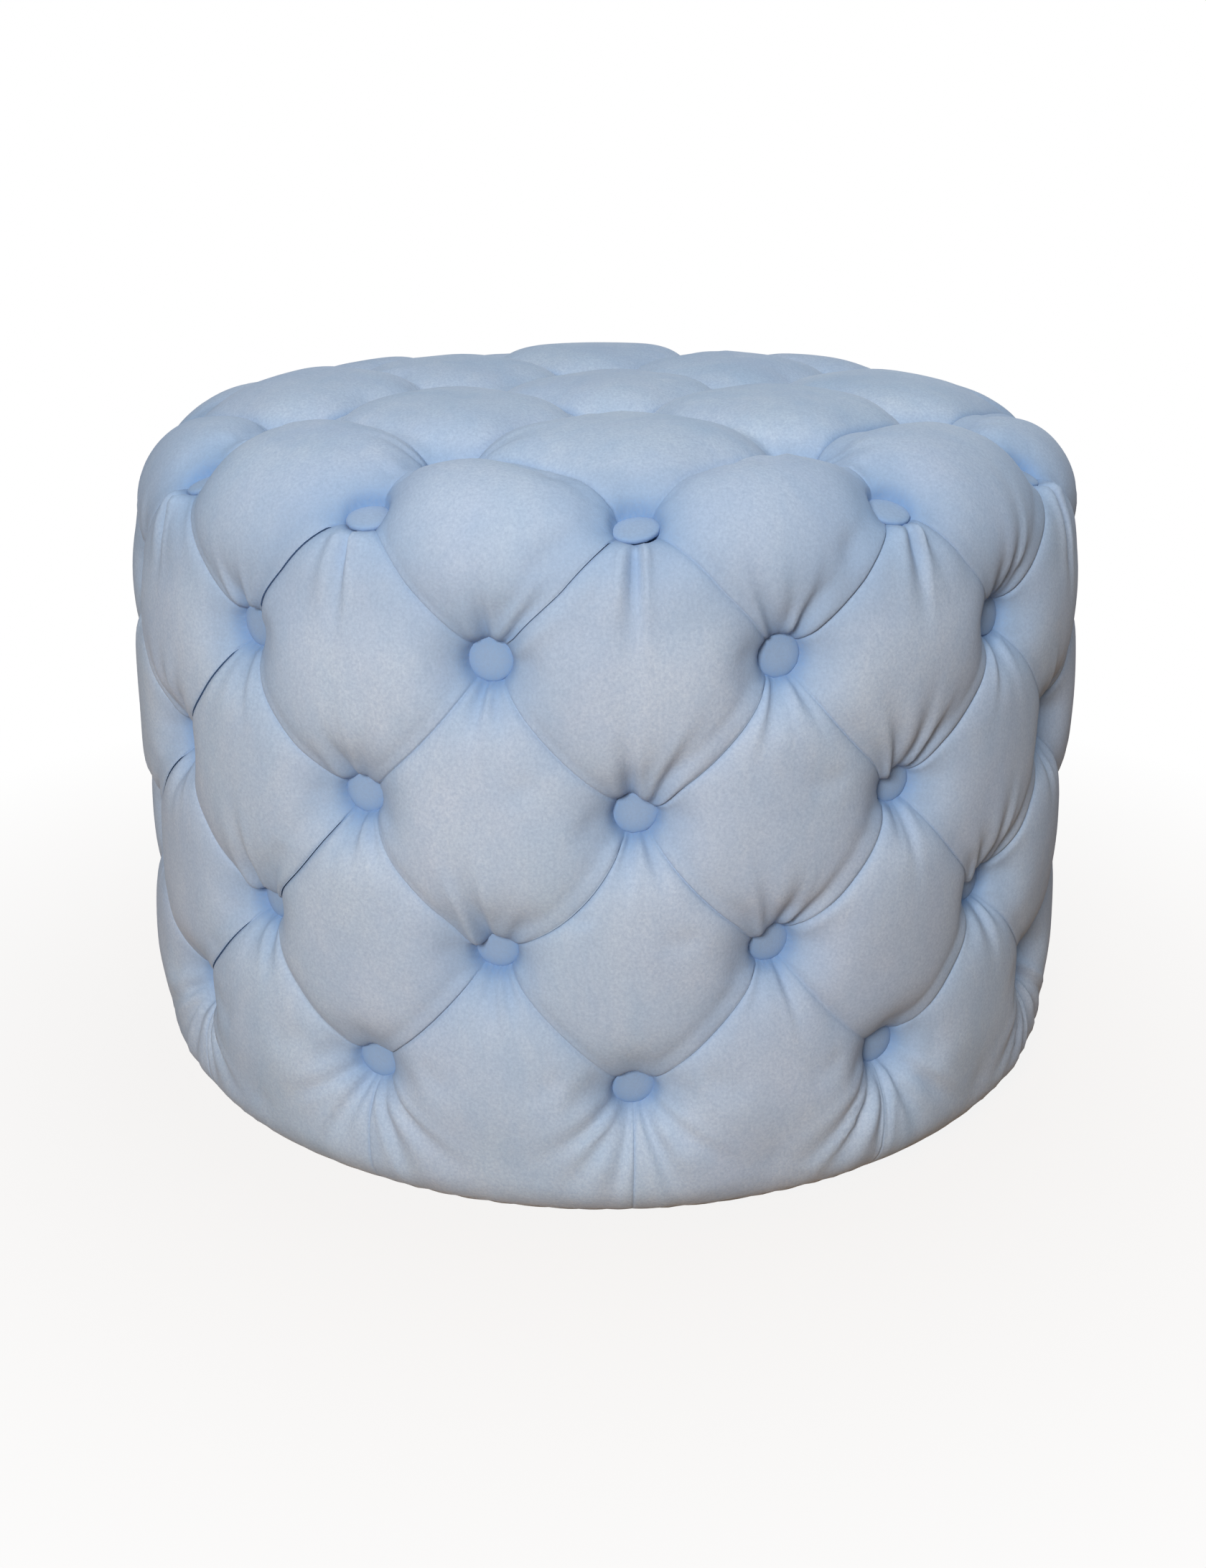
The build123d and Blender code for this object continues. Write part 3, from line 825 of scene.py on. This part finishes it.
def make_buttons(name):
    """One row of covered buttons: domed discs with a tucked edge and slight puckers round it.

    Every button tips a little at random, and those of the rim are tilted up.
    """
    out, height, turn, quads = button_profile()
    points, faces = [], []
    for n, (spot, normal, level) in enumerate(seats[name]):
        up = np.cross(normal, level)
        tip = rng.normal(0, BUTTON_TIP, 2)
        axis = normal + tip[0] * level + (tip[1] + RIM_TILT * (name == "rim")) * up
        axis /= np.linalg.norm(axis)
        side = np.cross(up, axis)
        side /= np.linalg.norm(side)
        rise = np.cross(axis, side)
        pucker = 1 + PUCKER_DEPTH * out**4 * np.sin(BUTTON_PUCKERS * turn + rng.uniform(*BUTTON_PHASES))
        oval = 1 + BUTTON_OVAL * np.sin(2 * turn + rng.uniform(*BUTTON_PHASES))
        radius = BUTTON_RADIUS * out * pucker * oval
        spread = radius[..., None] * (np.cos(turn)[..., None] * side + np.sin(turn)[..., None] * rise)
        dome = BUTTON_DOME * height[..., None] * axis
        points.append((spot - BUTTON_SINK * axis + spread + dome).reshape(-1, 3))
        faces.append(quads + n * out.size)
    # Painted shade on the buttons through the fold value, more on the side rows and growing towards the
    # edge
    pale = BUTTON_SHADE if name.startswith("side") else PALE_BUTTON_SHADE
    shade = np.tile((pale + BUTTON_EDGE_SHADE * out**3).ravel(), len(points))
    points, faces = np.concatenate(points), np.concatenate(faces)
    return new_piece("covered_" + name, points, faces, {"fold": shade}, merge=WELD_STEP)


# Shader nodes


def feed(tree, value, socket):
    """Link a node's output into a socket, or set the socket's own value."""
    if isinstance(value, bpy.types.NodeSocket):
        tree.links.new(value, socket)
    else:
        socket.default_value = value


def give(tree, target, **values):
    """Feed named inputs of a node; an underscore in a name stands for a space."""
    for key, value in values.items():
        feed(tree, value, target.inputs[key.replace("_", " ")])


def node(tree, kind, links=None, **values):
    """New shader node with properties and input values set, and links made from other sockets."""
    made = tree.nodes.new("ShaderNode" + kind)
    for key, value in values.items():
        setattr(made, key, value)
    for key, value in (links or {}).items():
        feed(tree, value, made.inputs[key])
    return made


def noise(tree, vector, scale, detail=3.0, rough=0.5):
    """Noise value over a vector."""
    links = {"Vector": vector, "Scale": scale, "Detail": detail, "Roughness": rough}
    return node(tree, "TexNoise", links).outputs["Fac"]


def maths(tree, kind, *values):
    """Result of a maths node on numbers or sockets."""
    return node(tree, "Math", dict(enumerate(values)), operation=kind).outputs[0]


def weighed(tree, first, first_share, second, second_share):
    """Sum of two values, each times its share."""
    first = maths(tree, "MULTIPLY", first, first_share)
    return maths(tree, "ADD", first, maths(tree, "MULTIPLY", second, second_share))


def ranged(tree, value, low, high, to_low=0.0, to_high=1.0):
    """Value mapped from one range to another and kept inside it."""
    links = {"Value": value, "From Min": low, "From Max": high, "To Min": to_low, "To Max": to_high}
    return node(tree, "MapRange", links).outputs["Result"]


def blended(tree, factor, first, second):
    """Mix of two colours by a factor; the mix node's colour sockets are its seventh and eighth."""
    made = node(tree, "Mix", data_type="RGBA")
    for place, value in zip((0, 6, 7), (factor, first, second)):
        feed(tree, (*value, 1.0) if isinstance(value, tuple) else value, made.inputs[place])
    return made.outputs[2]


def object_place(tree, scale=(1, 1, 1), turn=(0, 0, 0)):
    """Object coordinates, stretched and turned."""
    spot = node(tree, "TexCoord").outputs["Object"]
    links = {"Vector": spot, "Scale": scale, "Rotation": turn}
    return node(tree, "Mapping", links).outputs["Vector"]


def vectors(tree, kind, first, second):
    """Result of a vector maths node on two vectors."""
    return node(tree, "VectorMath", {0: first, 1: second}, operation=kind).outputs[0]


def shader_group(name, inputs, outputs):
    """Empty shader node group with named number inputs and outputs."""
    tree = bpy.data.node_groups.new(name, "ShaderNodeTree")
    for label, value in inputs.items():
        socket = tree.interface.new_socket(label, in_out="INPUT", socket_type="NodeSocketFloat")
        socket.default_value = value
    for label in outputs:
        tree.interface.new_socket(label, in_out="OUTPUT", socket_type="NodeSocketFloat")
    return tree, tree.nodes.new("NodeGroupInput"), tree.nodes.new("NodeGroupOutput")


def nap_group():
    """Brushed nap: broad strokes where the pile leans another way, fine pile, and a height for both."""
    inputs = {"Stroke": 18.0, "Pile": 1100.0}
    tree, given, result = shader_group("brushed_nap", inputs, ["Strokes", "Pile", "Height"])
    stroke = given.outputs["Stroke"]
    place = object_place(tree, (1.0, 1.0, 0.62), (0.25, 0.15, 0.4))
    links = {"Vector": place, "Scale": 9.0, "Detail": 2.0}
    drift = node(tree, "TexNoise", links).outputs["Color"]
    bent = vectors(tree, "ADD", place, vectors(tree, "MULTIPLY", drift, (0.06, 0.06, 0.06)))
    broad = noise(tree, bent, stroke, 4.0, 0.62)
    middling = noise(tree, bent, maths(tree, "MULTIPLY", stroke, 5.0), 3.0, 0.6)
    fine = noise(tree, object_place(tree), given.outputs["Pile"], 2.0, 0.7)
    strokes = weighed(tree, broad, 0.7, middling, 0.3)
    give(tree, result, Strokes=ranged(tree, strokes, 0.36, 0.64))
    give(tree, result, Pile=ranged(tree, fine, 0.3, 0.7))
    give(tree, result, Height=weighed(tree, fine, 0.6, strokes, 0.8))
    return tree


def grain_group():
    """Wood grain along one axis: stretched noise rings, fine pores, and a height."""
    inputs = {"Scale": 9.0, "Stretch": 0.06}
    tree, given, result = shader_group("wood_grain", inputs, ["Rings", "Pores", "Height"])
    scale = given.outputs["Scale"]
    spot = node(tree, "TexCoord").outputs["Object"]
    links = {"X": 1.0, "Y": 1.0, "Z": given.outputs["Stretch"]}
    place = vectors(tree, "MULTIPLY", spot, node(tree, "CombineXYZ", links).outputs[0])
    rings = maths(tree, "FRACT", maths(tree, "MULTIPLY", noise(tree, place, scale, 4.0, 0.55), 7.0))
    pores = noise(tree, place, maths(tree, "MULTIPLY", scale, 60.0), 2.0, 0.6)
    give(tree, result, Rings=rings, Pores=ranged(tree, pores, 0.35, 0.65))
    give(tree, result, Height=weighed(tree, rings, 0.4, pores, 1.0))
    return tree


def speckle_group():
    """Fine speckle and slow blotches with a height, for foam, cast plastic, fibres and dull metal."""
    inputs = {"Scale": 400.0, "Blotch": 12.0}
    tree, given, result = shader_group("speckle", inputs, ["Speckle", "Blotch", "Height"])
    scale = given.outputs["Scale"]
    place = object_place(tree)
    pits = node(tree, "TexVoronoi", {"Vector": place, "Scale": scale}).outputs["Distance"]
    fine = noise(tree, place, scale, 3.0, 0.6)
    slow = noise(tree, place, given.outputs["Blotch"], 3.0, 0.55)
    give(tree, result, Speckle=ranged(tree, fine, 0.32, 0.68))
    give(tree, result, Blotch=ranged(tree, slow, 0.35, 0.65))
    give(tree, result, Height=weighed(tree, pits, 0.5, fine, 1.0))
    return tree


NAP, GRAIN, SPECKLE = nap_group(), grain_group(), speckle_group()


# Materials


def finish(name, **sockets):
    """New material with its Principled shader's constant values set."""
    material = bpy.data.materials.new(name)
    material.use_nodes = True
    tree = material.node_tree
    shader = tree.nodes["Principled BSDF"]
    give(tree, shader, **sockets)
    return material, tree, shader


def placed(tree, group, **values):
    """Outputs of a node of a shared group with its own values."""
    made = node(tree, "Group", node_tree=group)
    give(tree, made, **values)
    return made.outputs


def bumped(tree, shader, height, strength, depth):
    """Bump of a height on the shader's normal."""
    links = {"Height": height, "Strength": strength, "Distance": depth}
    give(tree, shader, Normal=node(tree, "Bump", links).outputs["Normal"])


def velvet():
    """Pale blue short-pile velvet: leaning nap, slow changes of tint, painted shade in folds and pockets,
    soft sheen.
    """
    material, tree, shader = finish(
        "velvet",
        Sheen_Weight=0.12,
        Sheen_Roughness=0.45,
        Sheen_Tint=(0.86, 0.90, 0.97, 1.0),
        Specular_IOR_Level=0.04,
    )
    leaning, upright, mauve = (0.458, 0.587, 0.742), (0.582, 0.678, 0.790), (0.545, 0.580, 0.760)
    painted_fold_shade, painted_pocket_shade, pile_root = (0.255, 0.410, 0.640), (0.15, 0.29, 0.56), (0.29, 0.38, 0.54)
    nap = placed(tree, NAP, Stroke=17.0, Pile=650.0)
    tint = placed(tree, NAP, Stroke=6.0, Pile=90.0)
    # The fold attribute is the share of painted shade at each point of the cover and the buttons
    fold = node(tree, "Attribute", attribute_name="fold").outputs["Fac"]
    colour = blended(tree, nap["Strokes"], leaning, upright)
    colour = blended(tree, ranged(tree, tint["Strokes"], 0.0, 1.0, 0.0, 0.30), colour, mauve)
    # Painted shade: bluer where the cover is low, along pleats and on the buttons, darker still in the
    # deepest pockets
    colour = blended(tree, ranged(tree, fold, 0.30, 0.95, 0.0, 0.90), colour, painted_fold_shade)
    colour = blended(tree, ranged(tree, fold, 0.70, 1.0, 0.0, 0.55), colour, painted_pocket_shade)
    colour = blended(tree, ranged(tree, nap["Pile"], 0.0, 1.0, 0.0, 0.46), colour, pile_root)
    give(tree, shader, Base_Color=colour)
    give(tree, shader, Roughness=ranged(tree, nap["Strokes"], 0.0, 1.0, 0.98, 0.84))
    bumped(tree, shader, nap["Height"], 0.35, 0.0006)
    return material


def wood(name, light, dark, scale, stretch, rough):
    """Raw timber: rings and pores of the shared grain."""
    material, tree, shader = finish(name, Specular_IOR_Level=0.3)
    grain = placed(tree, GRAIN, Scale=scale, Stretch=stretch)
    colour = blended(tree, ranged(tree, grain["Rings"], 0.0, 1.0, 0.0, 0.7), light, dark)
    colour = blended(tree, ranged(tree, grain["Pores"], 0.0, 1.0, 0.25, 0.0), colour, dark)
    roughness = ranged(tree, grain["Pores"], 0.0, 1.0, rough + 0.1, rough - 0.1)
    give(tree, shader, Base_Color=colour, Roughness=roughness)
    bumped(tree, shader, grain["Height"], 0.3, 0.0004)
    return material


def speckled(name, light, dark, scale, blotch, rough, strength, depth, metal):
    """Plain stuff with the shared speckle: foam, cloth, plastic or metal by its values."""
    material, tree, shader = finish(name, Metallic=metal)
    marks = placed(tree, SPECKLE, Scale=scale, Blotch=blotch)
    colour = blended(tree, ranged(tree, marks["Speckle"], 0.0, 1.0, 0.0, 0.6), light, dark)
    colour = blended(tree, ranged(tree, marks["Blotch"], 0.0, 1.0, 0.35, 0.0), colour, dark)
    roughness = ranged(tree, marks["Blotch"], 0.0, 1.0, rough - 0.08, rough + 0.08)
    give(tree, shader, Base_Color=colour, Roughness=roughness)
    bumped(tree, shader, marks["Height"], strength, depth)
    return material


# Light and dark colour, scale of speckle and blotches, roughness, bump's strength and depth, metal
PLAIN_STUFFS = {
    "hardboard": ((0.16, 0.085, 0.045), (0.09, 0.045, 0.022), 700.0, 20.0, 0.62, 0.25, 0.0003, 0),
    "foam": ((0.80, 0.72, 0.48), (0.66, 0.56, 0.33), 420.0, 14.0, 0.90, 0.7, 0.0012, 0),
    "twine": ((0.70, 0.66, 0.56), (0.50, 0.45, 0.36), 1600.0, 40.0, 0.75, 0.5, 0.0003, 0),
    "toggle_plastic": ((0.76, 0.74, 0.68), (0.66, 0.63, 0.56), 900.0, 60.0, 0.45, 0.12, 0.0001, 0),
    "dust_cloth": ((0.030, 0.030, 0.033), (0.012, 0.012, 0.014), 800.0, 30.0, 0.88, 0.6, 0.0004, 0),
    "glide_plastic": ((0.030, 0.030, 0.030), (0.018, 0.018, 0.018), 900.0, 50.0, 0.42, 0.15, 0.0001, 0),
    "staple_wire": ((0.62, 0.62, 0.63), (0.44, 0.44, 0.45), 1500.0, 80.0, 0.34, 0.1, 0.0001, 1),
}

looks = {name: speckled(name, *values) for name, values in PLAIN_STUFFS.items()}
looks["plywood"] = wood("plywood", (0.56, 0.40, 0.22), (0.40, 0.25, 0.12), 7.0, 1.0, 0.62)
looks["pine"] = wood("pine", (0.66, 0.46, 0.24), (0.47, 0.27, 0.11), 12.0, 0.05, 0.55)
looks["velvet"] = velvet()

for entry in frame["record"]["subparts"]:
    part = frame["nodes"][entry["node"]]
    part.data.materials.clear()
    part.data.materials.append(looks[entry["material_slot"]])

cover = make_cover()
cover.data.materials.append(looks["velvet"])
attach(cover, "root")
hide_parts("tufted_cover")

for name in button_rows:
    row = make_buttons(name)
    row.data.materials.append(looks["velvet"])
    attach(row, "root")
    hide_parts("buttons_" + name)


# Floor, light and camera


def mixed_surface(tree, kind, factor, first, second):
    """Mix of two shaders by a factor, on a new output node."""
    mixed = node(tree, "MixShader", {0: factor, 1: first, 2: second}).outputs[0]
    node(tree, kind, {"Surface": mixed})


def make_floor():
    """Wide pale floor, white to the camera apart from the shadow, warm to the light that it returns."""
    corners = FLOOR_HALF * np.array([(-1, -1, 0), (1, -1, 0), (1, 1, 0), (-1, 1, 0)])
    floor = new_piece("studio_floor", corners, np.array([(0, 1, 2, 3)]))
    material = bpy.data.materials.new("studio_floor")
    material.use_nodes = True
    tree = material.node_tree
    tree.nodes.clear()
    seen = node(tree, "LightPath").outputs["Is Camera Ray"]
    white = node(tree, "Emission", {"Color": (1, 1, 1, 1), "Strength": 1.0}).outputs[0]
    warm = node(tree, "BsdfDiffuse", {"Color": (0.42, 0.235, 0.11, 1)}).outputs[0]
    spot = node(tree, "TexCoord").outputs["Object"]
    away = node(tree, "VectorMath", {0: spot}, operation="LENGTH").outputs["Value"]
    whiteness = ranged(tree, away, SHADOW_START, SHADOW_END, SHADOW_WHITE, 1.0)
    amount = maths(tree, "MULTIPLY", seen, whiteness)
    mixed_surface(tree, "OutputMaterial", amount, warm, white)
    floor.data.materials.append(material)


def make_world():
    """Even pale light from all round, white where the camera sees it."""
    world = bpy.data.worlds.new("studio")
    scene.world = world
    world.use_nodes = True
    tree = world.node_tree
    tree.nodes.clear()
    paths = node(tree, "LightPath").outputs
    seen = maths(tree, "MAXIMUM", paths["Is Glossy Ray"], paths["Is Transmission Ray"])
    seen = maths(tree, "MAXIMUM", paths["Is Camera Ray"], seen)
    pale = {"Color": (0.64, 0.83, 1.0, 1), "Strength": 0.135}
    soft = node(tree, "Background", pale).outputs[0]
    white = node(tree, "Background", {"Color": (1, 1, 1, 1), "Strength": 1.0}).outputs[0]
    mixed_surface(tree, "OutputWorld", seen, soft, white)


def make_lamp(name, spot, target, size, power, colour):
    """Square area lamp at a place, turned to a target."""
    data = bpy.data.lights.new(name, "AREA")
    data.size, data.energy, data.color = size, power, colour
    lamp = bpy.data.objects.new(name, data)
    lamp.location = spot
    lamp.rotation_euler = (Vector(target) - Vector(spot)).to_track_quat("-Z", "Y").to_euler()
    scene.collection.objects.link(lamp)


def make_camera():
    """Camera of the photograph: a little left of the front, 19 degrees down."""
    data = bpy.data.cameras.new("camera")
    data.sensor_fit, data.sensor_width = "HORIZONTAL", SENSOR_WIDTH
    data.lens = SENSOR_WIDTH * FOCAL_PIXELS / PHOTO_WIDTH
    data.shift_x, data.shift_y = [shift / PHOTO_WIDTH for shift in SHIFT_PIXELS]
    camera = bpy.data.objects.new("camera", data)
    ahead, aside = CAMERA_REACH * np.cos(CAMERA_SIDE), CAMERA_REACH * np.sin(CAMERA_SIDE)
    camera.location = (aside, -ahead, CAMERA_LEVEL)
    camera.rotation_euler = Euler((CAMERA_PITCH, 0, CAMERA_SIDE), "XYZ")
    scene.collection.objects.link(camera)
    bpy.context.scene.camera = camera


make_floor()
make_world()
make_lamp("key", (-0.72, -2.30, 1.42), (0, 0, 0.22), 0.7, 50.5, (1.0, 0.985, 0.965))
make_lamp("top", (0.9, -0.3, 2.4), (0, 0, 0.35), 1.6, 12, (0.95, 0.98, 1.0))
make_lamp("back", (0.5, 2.3, 1.7), (0, 0, 0.25), 1.6, 19, (0.96, 0.98, 1.0))
make_camera()

bpy.context.scene.view_settings.view_transform = "Standard"
